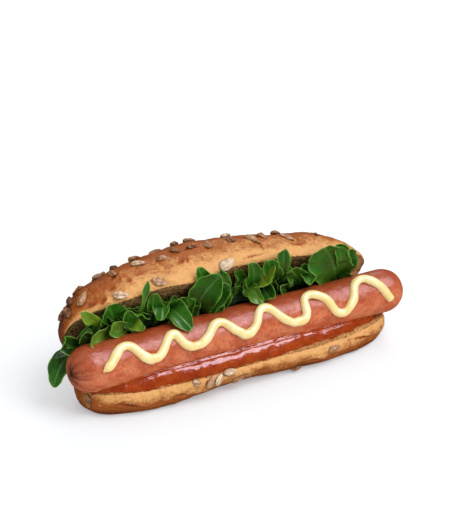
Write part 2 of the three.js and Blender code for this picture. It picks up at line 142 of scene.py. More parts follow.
# Turning points of the mayonnaise: distance along X, angle round the sausage from the front.
ZIGZAG = [
    (-85, 16), (-81, 26), (-70, 59), (-61, 22), (-57, 15), (-52, 21), (-43, 57), (-37, 26), (-31, 18),
    (-25, 27), (-15, 57), (-6, 26), (-1, 13), (5, 25), (14, 63.5), (25, 20), (31, 10), (37.4, 19),
    (40.8, 63), (51, 51), (59, 4), (68, 21), (76, 69), (86.5, 54), (95, 0),
]

# Seeds: distance along X, angle over the crust from the front lip, length, width, turn, tone.
# A tone runs from 0, dark roasted, to 1, pale.
CROWN_SEEDS = [
    (-89, 37, 9, 4.5, 73, 0.25), (-85, 52, 8, 4, 50, 0.15), (-81, 26, 10, 4.5, 40, 0.6),
    (-90, 64, 7, 4, 15, 0.2), (-77, 58, 6, 3.5, 80, 0.35), (-64, 62, 9, 4, 10, 0.35),
    (-60, 41, 7, 4, 85, 0.5), (-54, 66, 6, 4, 100, 0.2), (-45, 37, 8.5, 4.2, -18, 0.8),
    (-41, 62, 8, 4, 10, 0.3), (-33, 36, 6, 3.6, 86, 0.4), (-30, 33, 7, 4, -60, 0.75),
    (-28, 63, 8, 3.6, 5, 0.3), (-22, 40, 7, 4, -70, 0.25), (-15, 64, 6.5, 4, 30, 0.35),
    (-7, 60, 7.5, 3.5, -8, 0.4), (-12, 37, 6, 3, 8, 0.2), (-3, 34, 9, 4.5, 80, 0.55),
    (11, 34, 7.5, 4.5, 85, 0.25), (15, 58, 9, 4.5, 30, 0.9), (23, 29, 11, 4.5, -70, 0.6),
    (31, 36, 7, 4, -80, 0.5), (43, 50, 6, 3, 0, 0.25), (44, 28, 9, 4, -55, 0.6),
    (64, 32, 5, 2.8, -90, 0.15), (-42, 5, 9, 5, -28, 0.62), (-1, 3, 10, 5.5, 16, 1),
    (-64, 5, 8, 4.5, -25, 0.85),
]
HEEL_SEEDS = [
    (-89, 15, 8, 5, 69, 0.3), (-35, 3, 5, 4, 26, 0.7), (-27, 7, 7.5, 3.6, -40, 0.7),
    (-22, 8, 7, 3.6, -42, 0.95), (-14, 3, 9, 4, 4, 0.9), (-8, 23, 10, 4.5, -13, 0.5),
    (52, 7, 8.5, 3.6, -15, 0.6), (29, 33, 6, 3, -30, 0.35),
]
BACK_SEEDS = 16  # more seeds, scattered over the back of the top half
BACK_SEED_DRAW = 41

# Scars in the crust: distance along X, angle over the crust, length, width, turn, depth.
# A depth below 0 makes a lump.
CROWN_SCARS = [
    (-23, 23, 6, 2.2, 35, 0.9), (-20, 22, 5, 1.6, 70, 0.8), (-61, 33, 6, 3, 20, 0.9),
    (-66, 18, 4, 2.5, 0, 0.8), (-73, 7, 4.5, 3, 30, 1.1), (-79, 10, 5, 3, 10, 0.9),
    (-60, 25, 4, 2, 60, 0.7), (-56, 18, 3, 2, 0, 0.7), (-15, 37, 6, 1.2, 30, 1.1),
    (-11, 36, 6, 1.2, -40, 1.1), (25, 20, 10, 1.1, 75, 1.0), (15, 5, 14, 1.3, 4, 0.9),
    (48, 15, 9, 2.2, 10, 0.6), (70, 30, 7, 2, -40, 0.6), (-48, 22, 9, 2.4, 15, 0.5),
    (-35, 5, 8, 5, -20, -1.1), (-72, 4, 9, 4, 10, -0.8), (-55, 4, 7, 4, -10, -0.7),
]
HEEL_SCARS = [
    (-72, 15, 12, 1.4, 8, 0.9), (-76, 10, 5, 1.4, -20, 0.8), (72, 5, 16, 1.4, 12, 1.1),
    (78, 14, 10, 1.2, -25, 0.9), (-44, 16, 6, 2, 10, 0.6), (40, 20, 9, 1.6, 5, 0.6),
    (4, 18, 8, 2, -10, 0.6),
]

# Leaves: root x, y, z, tip x, y, z, width, forward bend of the midrib, turn, tint, point.
# A tint runs from 0, dark green, to 1, yellow green; a point from 0, round, to 1, a spear.
LEAVES = [
    (-87, 8, 31, -103, 3, 15, 11, 5, 10, 0.25, 0.7), (-84, 8, 30, -100, 0, 43, 9.5, 1, 20, 0.1, 0.4),
    (-78, 6, 32, -88, -1, 44, 9, 1, 0, 0.15, 0.2),
    (-68, 4, 38, -88, -7.5, 41.5, 10, 2, -25, 0.7, 0.15),
    (-68, 5, 40, -89.5, -4, 58.3, 7, 1.5, -40, 0.85, 1),
    (-64, 7, 37, -73, -1, 57, 17, 1, 5, 0.4, 0.35), (-58, 4, 40, -77, -6, 44.7, 9, 2, -30, 0.65, 0.7),
    (-58, 4, 43, -55, -10, 40.5, 8, 1.5, 0, 0.75, 1),
    (-46, 5, 37, -64, -5, 54, 11, 1.5, -20, 0.45, 0.35),
    (-55, 4, 39, -50.5, -5, 66.3, 3.8, 3, 10, 0.5, 1), (-40, 7, 38, -47, -3, 59.5, 10, 2, 0, 0.3, 1),
    (-36, 6, 38, -31, -4, 55, 12, 2, 20, 0.35, 0.4),
    (-38, 5, 43, -30.5, -16.5, 38, 11.5, 5, -10, 0.35, 0.5),
    (-15.5, -3, 47.5, -21, -4.3, 67.4, 8, 0.5, 0, 0.4, 0.7),
    (-20, 3, 39, -9, -9.5, 62.5, 16, 3, 18, 0.3, 0.5), (0, 4, 39, -7, -6, 64, 6.5, 3, 15, 0.5, 0.8),
    (-12, 5, 42, -5, -8, 41, 8, 2, 10, 0.45, 0.5), (15, 8, 42, 3, 0, 57, 8, 1, 0, 0.5, 0.3),
    (19, 7, 40, 11, -5, 63, 10, 3, 10, 0.35, 0.5), (36, 6, 42, 20, -6, 64.5, 10, 3, -20, 0.4, 0.5),
    (20, 4, 42, 27, -7, 59, 9, 2, -30, 0.85, 0.2), (17, 4, 42, 25, -8, 46.5, 10, 3.5, -20, 1, 0.6),
    (19, 6, 48, 11, -3, 40, 8, 2, 0, 0.6, 0.2), (13, 5, 44, 15, -12, 41, 8.5, 3, 0, 0.6, 0.4),
    (26, 5, 44, 22, -12, 40, 10, 2.5, 10, 0.2, 0.2), (38, 4, 45, 30, -7, 69, 7.5, 4, 0, 0.3, 0.7),
    (53, 8, 32, 38, -3, 53, 12, 2, -20, 0.3, 0.3), (51, 6, 48, 46, -8, 40.5, 12, 2.5, 0, 0.35, 0.8),
    (73, 5, 31, 55.5, -8, 65.5, 23, 3, 5, 0.35, 0),
    (73, 1, 46, 63.5, -10, 65.3, 8.5, 5, 0, 0.45, 0.1),
    (77, 5, 35, 77, -6, 58.6, 9.5, 2, 0, 0.35, 0.9), (73, 6, 32, 80, -4, 40, 6.5, 1, 0, 0.4, 0.5),
    (-18, 4, 37, -3.5, -7.5, 55.5, 14, 2.5, 10, 0.2, 0.5),
    (-30, 5, 38, -22, -5, 48.5, 8, 1.5, 0, 0.45, 0.4), (-84, 5, 30, -99, 1, 38, 5, 0, -50, 0.4, 0.9),
    (-58, 8, 36, -61, 1, 53, 10, 1, 10, 0.1, 0.2), (-40, 5, 49, -44, -7.5, 42, 9, 1.5, 0, 0.4, 0.6),
    (-27, 8, 35, -20, -1, 45, 8, 1, 15, 0.2, 0.2), (-14, 8, 38, -27, 0, 49, 8, 1, 0, 0.3, 0.8),
    (-6, 7, 34, -2, -3, 52, 9, 1, 0, 0.35, 0.2), (34, 4, 54, 38, -3, 49, 6, 1, 0, 0.4, 0.7),
    (43, 7, 33, 30, -4, 42, 8, 1, 0, 0.2, 0.2), (64, 8, 30, 52, -1, 48, 10, 1, 0, 0.2, 0.3),
    (58, 6, 40, 44, -2, 52, 6, 1, -20, 0.35, 0.5),
]

# ---------- Camera, lights and colours ----------

CAMERA = {
    "aim": (0, 0, 30),
    "azimuth": -31,  # to the left of the front
    "elevation": 26,
    "distance": 780,
    "axis_azimuth": -30.867,  # the lens looks along this axis, a little off the aim
    "axis_elevation": 23.642,
    "focal_pixels": 1435.2,
}

# Lights: name, azimuth, elevation, distance and width in metres, watts, what it lights, tint.
WHITE = (1.0, 1.0, 1.0)
LIGHTS = [
    ("key", 28, 52, 2.4, 2.0, 36, ("diffuse",), WHITE),
    ("rim", 150, 40, 2.4, 1.2, 9, ("diffuse", "glossy"), WHITE),
    ("sheen", 46, 54, 2.4, 1.8, 50, ("glossy",), (0.97, 0.88, 1.0)),
]
WORLD_STRENGTH = 0.76
FLOOR_REACH = 8.0  # metres from the middle to each side

# Colours as they look on a screen, from 0 to 255.
COLOURS = {
    "crust": (222, 164, 98), "crust_brown": (162, 84, 24), "crust_dark": (108, 50, 18),
    "bran": (132, 66, 28),
    "crumb_hole_shade": (84, 62, 30), "crumb": (158, 120, 70), "crumb_patch": (118, 84, 44),
    "crumb_pale": (218, 158, 98),
    "seed_dark": (94, 52, 28), "seed_brown": (172, 118, 70), "seed_pale": (232, 208, 176),
    "seed_grain": (112, 68, 38), "seed_groove_shade": (78, 42, 22),
    "casing": (192, 87, 44), "casing_pink": (214, 122, 80), "casing_freckle": (232, 160, 124),
    "casing_spot": (146, 56, 28), "casing_bruise": (150, 66, 46),
    "casing_top_shade": (144, 52, 14), "casing_gathered": (130, 54, 26),
    "casing_groove_shade": (64, 22, 12),
    "mayo": (246, 216, 142), "mayo_pale": (252, 231, 170),
    "ketchup": (150, 49, 2), "ketchup_light": (170, 68, 10),
    "leaf_dark": (14, 60, 4), "leaf": (48, 110, 14), "leaf_yellow": (132, 158, 36),
    "leaf_vein": (112, 160, 70), "leaf_rim_and_highlight": (132, 180, 66), "leaf_shade": (10, 38, 4),
    "leaf_mottle": (24, 62, 8),
    "floor": (204, 208, 212), "floor_patch": (206, 210, 214),
}

# ---------- Small tools ----------


def ease(t):
    """A smooth step from 0 to 1 while t goes from 0 to 1."""
    t = np.clip(t, 0.0, 1.0)
    return t * t * (3 - 2 * t)


def bump(x, at, wide):
    """A rounded rise to 1 about a place."""
    return np.exp(-(((x - at) / wide) ** 2))


def fullness(t, power):
    """1 in the middle, falling to 0 where t is -1 or 1; blunter with a higher power."""
    return np.maximum(0.0, 1 - np.abs(t) ** power) ** (1 / power)


def signed_power(value, power):
    """A power of the size of a number that keeps its sign."""
    return np.sign(value) * np.abs(value) ** power


def unit(vectors):
    length = np.linalg.norm(vectors, axis=-1, keepdims=True)
    return vectors / np.maximum(length, 1e-9)


def draws(start):
    """A repeatable stream of numbers from 0 to 1, the same as the solids use."""
    state = start
    while True:
        state = (state * 1664525 + 1013904223) % 2**32
        yield state / 2**32


def lattice(cell, seed):
    """A repeatable number from -1 to 1 for each whole-number place."""
    primes = (73856093, 19349663, 83492791)
    whole = np.uint64(2**32)
    mixed = np.full(cell.shape[:-1], seed * 2654435761 % 2**32, np.uint64)
    for axis, prime in enumerate(primes):
        place = (cell[..., axis].astype(np.int64) % 2**32).astype(np.uint64)
        mixed ^= place * np.uint64(prime) % whole
        mixed = (mixed ^ (mixed >> np.uint64(13))) * np.uint64(1274126177) % whole
    return mixed.astype(float) / 2**31 - 1


def relief(points, size, seed):
    """Smooth random relief from -1 to 1, its bumps about size across."""
    place = points / size
    cell = np.floor(place)
    share = place - cell
    share = share * share * (3 - 2 * share)
    total = np.zeros(points.shape[:-1])
    for corner in itertools.product((0, 1), repeat=3):
        step = np.array(corner)
        weight = np.prod(np.where(step, share, 1 - share), axis=-1)
        total += weight * lattice(cell + step, seed)
    return total


def layered(points, *layers):
    """Relief in layers, each given by its amount, size and seed."""
    return sum(amount * relief(points, size, seed) for amount, size, seed in layers)


def stations(middle, half, count):
    """Positions along a length, somewhat closer together towards both ends."""
    even = np.linspace(-1, 1, count + 1)
    gathered = -np.cos(np.pi * np.arange(count + 1) / count)
    return (middle + half * (0.55 * even + 0.45 * gathered))[:, None]


def extent(form):
    """The middle of a form along X and its half length."""
    return (form["left"] + form["right"]) / 2, (form["right"] - form["left"]) / 2


def full_turn(count):
    """Angles once round a ring."""
    return (2 * math.pi * np.arange(count) / count)[None, :]


def together(x, y, z):
    """Points out of coordinates that broadcast against each other."""
    return np.stack(np.broadcast_arrays(x, y, z), -1).astype(float)


def push_out(rings, amount):
    """Moves the points of rings along their normals, outward."""
    lengthwise = np.gradient(rings, axis=0)
    around = np.roll(rings, -1, axis=1) - np.roll(rings, 1, axis=1)
    normals = unit(np.cross(lengthwise, around))
    away = rings - rings.mean(axis=1, keepdims=True)
    facing = np.where((normals * away).sum() > 0, 1, -1)
    return rings + normals * facing * amount[..., None]


def soften(rings, passes):
    """Rounds the corners of each ring."""
    for _ in range(passes):
        rings = (np.roll(rings, 1, axis=1) + 2 * rings + np.roll(rings, -1, axis=1)) / 4
    return rings


def new_object(name, data):
    made = bpy.data.objects.new(name, data)
    bpy.context.scene.collection.objects.link(made)
    return made


def make_piece(name, shape, node, slot, material, **values):
    """A smooth mesh piece that stands for a CAD node; values are named numbers, one a point."""
    points, faces = shape
    mesh = bpy.data.meshes.new(name)
    mesh.from_pydata((points * MM).tolist(), [], faces)
    mesh.update()
    mesh.polygons.foreach_set("use_smooth", [True] * len(mesh.polygons))
    for key, numbers in values.items():
        attribute = mesh.attributes.new(key, "FLOAT", "POINT")
        attribute.data.foreach_set("value", np.asarray(numbers, np.float32))
    mesh.materials.append(material)
    piece = new_object(name, mesh)
    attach(piece, "root")
    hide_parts(node)


def skin(rings, start, end):
    """Points and faces of a closed skin through rings of equal count, a pole closing each end."""
    rows, count = rings.shape[:2]
    points = np.vstack([rings.reshape(-1, 3), [start], [end]])
    first, last = rows * count, rows * count + 1
    here = np.arange(count)
    beside = (here + 1) % count
    faces = []
    for row in range(rows - 1):
        a, b = row * count, (row + 1) * count
        faces += np.stack([a + here, b + here, b + beside, a + beside], 1).tolist()
    end_row = (rows - 1) * count
    pairs = list(zip(here.tolist(), beside.tolist()))
    faces += [[first, j, k] for j, k in pairs]
    faces += [[last, end_row + k, end_row + j] for j, k in pairs]
    return points, faces


def with_poles(grid, start, end):
    """The numbers of a grid and of its two poles, in the order of skin's points."""
    return np.concatenate([np.ravel(grid), [start, end]])


def join(shapes):
    """The shape and the values of many small shapes made into one."""
    points, faces, values = zip(*shapes)
    starts = np.cumsum([0, *map(len, points)]).tolist()
    all_faces = []
    for start, part in zip(starts, faces):
        all_faces += [[start + corner for corner in face] for face in part]
    values = {key: np.concatenate([part[key] for part in values]) for key in values[0]}
    return (np.vstack(points), all_faces), values


# ---------- Node materials ----------


class Shader:
    """Builds one node material; lengths are millimetres on the object."""

    def __init__(self, name, **fixed):
        self.material = bpy.data.materials.new(name)
        self.material.use_nodes = True
        self.tree = self.material.node_tree
        self.surface = self.tree.nodes["Principled BSDF"]
        for key, value in fixed.items():
            self.surface.inputs[key.replace("_", " ")].default_value = value
        place = self.node("TexCoord", "Object", {})
        self.place = self.node("VectorMath", 0, {0: place, "Scale": 1 / MM}, operation="SCALE")

    def soft(self, share, depth, colours):
        """Lets light in: how much, how deep, and how deep for red, green and blue against that."""
        for key, value in (("Weight", share), ("Scale", depth * MM), ("Radius", colours)):
            self.surface.inputs["Subsurface " + key].default_value = value

    def put(self, socket, value):
        """Links a node's output, or sets a number or a colour given by its name."""
        if isinstance(value, bpy.types.NodeSocket):
            self.tree.links.new(value, socket)
        elif isinstance(value, str):
            socket.default_value = linear(*COLOURS[value])
        else:
            socket.default_value = value

    def node(self, kind, output, sockets, **settings):
        """An output of a new node."""
        made = self.tree.nodes.new("ShaderNode" + kind)
        for key, value in settings.items():
            setattr(made, key, value)
        for key, value in sockets.items():
            self.put(made.inputs[key], value)
        return made.outputs[output]

    def noise(self, size, detail=3.0, distortion=0.0, stretch=(1, 1, 1)):
        """A noise from 0 to 1, its spots about size across."""
        place = self.place
        if stretch != (1, 1, 1):
            place = self.node("VectorMath", 0, {0: place, 1: stretch}, operation="MULTIPLY")
        sockets = {"Vector": place, "Scale": 1 / size, "Detail": detail, "Distortion": distortion}
        return self.node("TexNoise", "Fac", sockets)

    def height(self):
        return self.node("SeparateXYZ", "Z", {0: self.place})

    def value(self, name):
        """One of the named numbers of the mesh."""
        return self.node("Attribute", "Fac", {}, attribute_name=name)

    def span(self, value, low, high, to_low=0.0, to_high=1.0):
        """Goes smoothly from one number to another while the value goes from low to high."""
        sockets = {"Value": value, "From Min": low, "From Max": high}
        sockets |= {"To Min": to_low, "To Max": to_high}
        return self.node("MapRange", "Result", sockets, interpolation_type="SMOOTHSTEP")

    def sum(self, a, b, operation="ADD"):
        return self.node("Math", 0, {0: a, 1: b}, operation=operation)

    def times(self, a, b):
        return self.sum(a, b, "MULTIPLY")

    def stir(self, value, noise, amount):
        """The value raised and lowered by a noise."""
        return self.sum(value, self.times(self.sum(noise, -0.5), amount))

    def mix(self, share, a, b):
        return self.node("Mix", 2, {0: share, 6: a, 7: b}, data_type="RGBA")

    def over(self, color, share, amount, shade):
        """The colour, with a shade laid over it where share is high."""
        return self.mix(self.times(share, amount), color, shade)

    def bump(self, height, depth, before=None):
        sockets = {"Height": height, "Distance": depth * MM, "Strength": 1.0}
        if before is not None:
            sockets["Normal"] = before
        return self.node("Bump", "Normal", sockets)

    def finish(self, color, roughness, normal):
        self.put(self.surface.inputs["Base Color"], color)
        self.put(self.surface.inputs["Roughness"], roughness)
        self.put(self.surface.inputs["Normal"], normal)
        return self.material


def linear(*screen):
    """A screen colour as linear light."""
    shares = [part / 255 for part in screen]
    light = [s / 12.92 if s <= 0.04045 else ((s + 0.055) / 1.055) ** 2.4 for s in shares]
    return (*light, 1.0)


def bread_material():
    s = Shader("bread", Specular_IOR_Level=0.22, Coat_Weight=0.05, Coat_Roughness=0.35)
    # This browning value mixes real baking with painted light: a painted highlight above the top
    # half's cut, painted shade on its crest, at the left ends and in pits.
    bake_and_light = s.stir(s.value("bake_and_light"), s.noise(12, 4), 0.7)
    bake_and_light = s.stir(bake_and_light, s.noise(4.5, 4, 0.4), 0.5)
    bake_and_light = s.stir(bake_and_light, s.noise(1.6, 5, 0.4), 0.6)
    crust = s.mix(s.span(bake_and_light, -0.12, 0.38), "crust", "crust_brown")
    crust = s.mix(s.span(bake_and_light, 0.42, 1.0), crust, "crust_dark")
    crust = s.over(crust, s.span(s.noise(0.7, 2), 0.58, 0.72), 0.35, "bran")
    # The pores are painted darker, as painted shade in the holes.
    pores = s.span(s.noise(1.5, 4, 0.8), 0.36, 0.56)
    crumb = s.mix(pores, "crumb_hole_shade", "crumb")
    crumb = s.mix(s.span(s.noise(6, 3), 0.45, 0.7), crumb, "crumb_patch")
    fibre = s.times(s.value("end"), s.span(s.noise(1.1, 4), 0.4, 0.6, 0.35, 1))
    crumb = s.mix(fibre, crumb, "crumb_pale")
    edge = s.span(s.stir(s.value("crumb"), s.noise(1.8, 3), 0.5), 0.35, 0.65)
    color = s.mix(edge, crust, crumb)
    rough = s.span(edge, 0, 1, 0.42, 0.9)
    fine = s.bump(s.noise(1.0, 4), 0.5)
    wrinkle = s.bump(s.noise(3.2, 3, 0.6, (0.5, 1, 1)), 0.95, fine)
    normal = s.bump(s.times(s.noise(1.3, 5, 0.5), edge), 1.4, wrinkle)
    return s.finish(color, rough, normal)


def seed_material():
    s = Shader("seeds", Specular_IOR_Level=0.45, Coat_Weight=0.15, Coat_Roughness=0.3)
    tone = s.stir(s.value("tone"), s.noise(2.0, 3), 1.3)
    color = s.mix(s.span(tone, 0.0, 0.5), "seed_dark", "seed_brown")
    color = s.mix(s.span(tone, 0.5, 1.1), color, "seed_pale")
    grain = s.noise(0.6, 3, 0.3)
    color = s.over(color, s.span(grain, 0.45, 0.75), 0.4, "seed_grain")
    # Painted shade in the grooves and along the edges of each seed.
    color = s.over(color, s.span(s.value("shade"), 0.3, 1.0), 0.65, "seed_groove_shade")
    normal = s.bump(grain, 0.3)
    return s.finish(color, s.span(grain, 0.3, 0.7, 0.3, 0.55), normal)


def sausage_material():
    s = Shader("sausage", Coat_Weight=0.22, Coat_Roughness=0.24)
    s.soft(0.1, 2, (1.0, 0.35, 0.2))
    blotch = s.sum(s.times(s.noise(9, 4), 0.6), s.times(s.noise(2.2, 4), 0.4))
    color = s.mix(s.span(blotch, 0.38, 0.62), "casing", "casing_pink")
    color = s.over(color, s.span(s.noise(0.9, 3), 0.58, 0.72), 0.45, "casing_freckle")
    color = s.over(color, s.span(s.noise(1.6, 3), 0.6, 0.75), 0.5, "casing_spot")
    color = s.over(color, s.span(s.noise(3.4, 5, 1.2), 0.54, 0.68), 0.4, "casing_bruise")
    # The top of the casing is painted darker, as painted shade where the highlight does not fall.
    top = s.span(s.stir(s.height(), s.noise(6, 3), 6), 27, 39)
    color = s.over(color, top, 0.7, "casing_top_shade")
    color = s.over(color, s.value("gather"), 0.55, "casing_gathered")
    # The folds at the left end are painted darker, as painted shade in the creases.
    color = s.mix(s.value("groove"), color, "casing_groove_shade")
    normal = s.bump(s.noise(0.8, 3), 0.1)
    normal = s.bump(s.noise(3.5, 3), 0.5, normal)
    return s.finish(color, s.span(s.noise(3, 3), 0.3, 0.7, 0.3, 0.46), normal)


def mayo_material():
    s = Shader("mayo", Coat_Weight=1.0, Coat_Roughness=0.2)
    s.soft(0.06, 1.5, (1.0, 0.85, 0.5))
    color = s.mix(s.span(s.noise(6, 3), 0.35, 0.65), "mayo", "mayo_pale")
    normal = s.bump(s.noise(3, 1), 0.06)
    return s.finish(color, s.span(s.noise(2, 2), 0.3, 0.7, 0.25, 0.36), normal)


def ketchup_material():
    coat = {"Coat_Weight": 1.0, "Coat_Roughness": 0.07, "Coat_IOR": 1.6}
    s = Shader("ketchup", Specular_IOR_Level=0.4, **coat)
    s.soft(0.1, 1.5, (1.0, 0.2, 0.08))
    color = s.mix(s.span(s.noise(7, 3), 0.3, 0.7), "ketchup", "ketchup_light")
    normal = s.bump(s.noise(2.4, 2, 0.8), 0.6)
    normal = s.bump(s.noise(0.9, 2), 0.1, normal)
    return s.finish(color, s.span(s.noise(1.2, 2), 0.35, 0.65, 0.2, 0.32), normal)


def leaf_material():
    s = Shader("lettuce", Coat_Weight=0.22, Coat_Roughness=0.28)
    s.soft(0.1, 1.2, (0.5, 1.0, 0.2))
    tint = s.stir(s.value("tint"), s.noise(7, 3), 0.6)
    color = s.mix(s.span(tint, 0.0, 0.45), "leaf_dark", "leaf")
    color = s.mix(s.span(tint, 0.45, 1.0), color, "leaf_yellow")
    vein = s.value("vein")
    color = s.over(color, vein, 0.5, "leaf_vein")
    # The pale rim is partly the leaf's own lighter margin and partly a painted highlight along its
    # edges.
    color = s.over(color, s.value("rim"), 0.75, "leaf_rim_and_highlight")
    # Painted shade: leaves darker towards their roots, deep in the heap, and the whole core dark.
    color = s.over(color, s.value("deep"), 0.7, "leaf_shade")
    mottle = s.noise(1.2, 3)
    color = s.over(color, s.span(mottle, 0.5, 0.75), 0.25, "leaf_mottle")
    normal = s.bump(mottle, 0.12)
    normal = s.bump(vein, -0.25, normal)
    return s.finish(color, s.span(s.noise(2.5, 3), 0.3, 0.7, 0.3, 0.48), normal)


# ---------- Bun ----------


def lip_drop(x):
    """How far the front lip of the top half hangs down."""
    drop = 0.6 + 2.2 * bump(x, -26, 14) + 1.6 * bump(x, -62, 14)
    return drop + 2.2 * bump(x, 56, 16) - bump(x, 0, 12)


def crust_swell(x, theta):
    """Slow swells of the crust, as a factor."""
    return 1 + 0.014 * np.sin(0.085 * x + 2.1 * theta) + 0.009 * np.sin(0.19 * x - 3.2 * theta + 1)


def swing(x, y, z):
    """Swings points of the closed top half back about the hinge."""
    c, s = math.cos(math.radians(BUN["open"])), math.sin(math.radians(BUN["open"]))
    dy = y - BUN["hinge_y"]
    hinge_z = BUN["cut_height"] + BUN["hinge_rise"]
    return together(x, BUN["hinge_y"] + dy * c + z * s, hinge_z - dy * s + z * c)


def crown_slip(t):
    """How far the right end of the top half lies towards the hinge."""
    return BUN["crown_slip"] * ease((t - 0.6) / 0.4)


def crown_point(x, theta):
    """Crust of the top half: theta from the front lip, 0, over the crest to the back, pi."""
    t = (x - BUN["crown_middle"]) / BUN["crown_half_length"]
    full = fullness(t, np.where(t < 0, 2.9, 2.6))
    width = BUN["half_width"] * full
    taper = 1.06 - 0.26 * ease((t + 0.25) / 1.25)
    height = BUN["crown_height"] * fullness(t, np.where(t < 0, 2.4, 2)) * taper
    swell = crust_swell(x, theta)
    y = -width * signed_power(np.cos(theta), 0.9) * swell
    z = height * np.maximum(0, np.sin(theta)) ** 0.9 * swell
    y = y * (1 - 0.06 * np.maximum(0, 1 - z / 6) ** 2)
    front = ease(0.5 - y / (2 * np.maximum(width, 0.1)))
    z = z - lip_drop(x) * front * full * (1 - np.minimum(1, z / np.maximum(height, 0.1)))
    return swing(x, y + crown_slip(t), z)


def climb(y):
    """How much higher the cut face lies towards the hinge."""
    return BUN["hinge_rise"] * ease((y + 4) / 26)


def cut_height(y):
    """Height of the cut face of the bottom half."""
    return BUN["cut_height"] + climb(y) - BUN["lip_fall"] * ease((-16 - y) / 9)


def heel_width(x):
    """Half the width of the bottom half."""
    return BUN["half_width"] * fullness((x - BUN["heel_middle"]) / BUN["heel_half_length"], 3)


def lip_tuck(depth):
    """How far the crust of the bottom half draws in towards its lip, as a factor."""
    return 1 - 0.09 * np.maximum(0, 1 - depth / 5) ** 2


def heel_point(x, theta):
    """Crust of the bottom half: theta from the front lip, 0, along the floor to the back, pi."""
    t = (x - BUN["heel_middle"]) / BUN["heel_half_length"]
    width = heel_width(x)
    power = 1.12 - 0.47 * ease(np.abs(t + 0.08) / 0.8)
    y = -width * signed_power(np.cos(theta), power) * crust_swell(x, theta + 2)
    drop = (BUN["heel_drop"] + climb(y)) * fullness(t, 6)
    depth = drop * np.maximum(0, np.sin(theta)) ** power * crust_swell(x + 40, theta)
    y = y * lip_tuck(depth)
    return together(x, y, np.maximum(0, cut_height(y) - depth))


def scars(rings, point, rows):
    """Relief of pits with raised rims over a grid of crust points, and how much painted shade darkens
    each pit.
    """
    change = np.zeros(rings.shape[:2])
    dark = np.zeros(rings.shape[:2])
    for x, angle, length, width, turn, depth in rows:
        centre, along, up = crust_frame(point, x, angle, turn)
        side = np.cross(up, along)
        away = rings - centre
        across = (away @ side) / (width / 2) + 0.5 * relief(rings, 2.5, 22)
        off = np.hypot((away @ along) / (length / 2), across)
        near = np.abs(away @ up) < 6
        pit = bump(off, 0, 1) * near
        rim = bump(off, 1.5, 0.45) * near
        change += depth * (0.45 * rim - pit)
        # Pits get painted shade; lumps do not.
        dark = np.maximum(dark, depth * pit)
    return change, dark


def bread_half(name, form, point, pole, crumb_rise, bake_and_light, marks, material):
    """One half of the bun: crust from lip to lip, then the torn crumb straight back."""
    middle, half = BUN[form + "_middle"], BUN[form + "_half_length"]
    steps, crust_steps = GRID["bun"]
    x = stations(middle, half * BUN["last_ring"], steps)
    theta = np.linspace(0, math.pi, crust_steps + 1)[None, :]
    crust = point(x, theta)
    share = (np.arange(1, CRUMB_STEPS) / CRUMB_STEPS)[None, :, None]
    crumb = crust[:, -1:] * (1 - share) + crust[:, :1] * share
    crumb = crumb_rise(crumb, share[..., 0])
    rings = soften(np.concatenate([crust, crumb], axis=1), 5)
    is_crumb = np.zeros(rings.shape[:2])
    is_crumb[:, crust_steps + 1 :] = 1
    blurred = soften(is_crumb[..., None], 3)[..., 0]
    grain = layered(rings, (0.5, 1.5, 11), (0.3, 0.9, 12), (0.6, 3.1, 13))
    pits = -0.9 * ease((grain - 0.05) / 0.5) + 0.45 * relief(rings, 6.5, 14)
    dents = layered(rings, (0.55, 15, 15), (0.6, 6.5, 16), (0.2, 2.2, 17))
    wrinkles = -0.4 * ease(1 - np.abs(relief(rings * (0.55, 1, 1), 7, 18)) / 0.14)
    lip = np.concatenate([bump(theta, 0, BUN["lip"]), np.zeros((1, CRUMB_STEPS - 1))], 1)
    ragged = lip * layered(rings, (0.7, 3.6, 20), (0.4, 1.6, 23))
    scarred, dark = scars(rings, point, marks)
    crust_relief = dents + wrinkles * ease(relief(rings, 12, 19) * 2) + ragged + scarred
    amount = crust_relief * (1 - blurred) + pits * blurred
    floor = ease(rings[..., 2] / 2.5)
    rings = push_out(rings, amount * floor)
    rings[..., 2] = np.maximum(rings[..., 2], 0)
    brown = np.concatenate([bake_and_light(x, theta, crust), np.zeros(crumb.shape[:2])], 1)
    # Painted shade darkens the pits; the torn lip is paler, the bread's own colour.
    brown = brown + 0.6 * dark - 0.35 * lip
    values = {
        "crumb": with_poles(blurred, 0, 0),
        "bake_and_light": with_poles(brown, 0.7, 0.7),
        "end": with_poles(ease((x - BUN["pale_crumb"][name]) / 16) + 0 * brown, 0, 1),
    }
    shape = skin(rings, pole(middle - half, -1), pole(middle + half, 1))
    make_piece(name, shape, "bun", "bread", material, **values)


def crown_bake_and_light(x, theta, crust):
    """How brown the top half is, partly baking and partly painted light: the pale band just above the
    cut is a painted highlight, the browner crest and left end are painted shade over the baking.
    """
    over = ease((theta - 0.05) / 0.95) * (1 - 0.25 * ease((theta - 1.9) / 1.0))
    return 0.05 + 0.5 * over + 0.3 * ease((-50 - x) / 40) + 0.12 * ease((x - 55) / 35)


def heel_bake_and_shade(x, theta, crust):
    """How brown the bottom half is: browner near the floor, and browner at the left end as painted
    shade.
    """
    return 0.2 + 0.6 * ease((8 - crust[..., 2]) / 8) + 0.2 * ease((-60 - x) / 35)


def crown(material):
    def rise(points, share):
        """The crumb bulges a little."""
        return points + np.sin(math.pi * share)[..., None] * (0, 0.8, 0.5)

    def pole(x, side):
        return swing(x, crown_slip(side), 0.5)

    bread_half("bun_top", "crown", crown_point, pole, rise, crown_bake_and_light, CROWN_SCARS, material)


def heel(material):
    def rise(points, share):
        """The crumb follows the cut face."""
        points[..., 2] = cut_height(points[..., 1])
        return points

    def pole(x, side):
        return np.array([x, 0, BUN["cut_height"] - 1])

    bread_half("bun_bottom", "heel", heel_point, pole, rise, heel_bake_and_shade, HEEL_SCARS, material)


# ---------- Seeds ----------


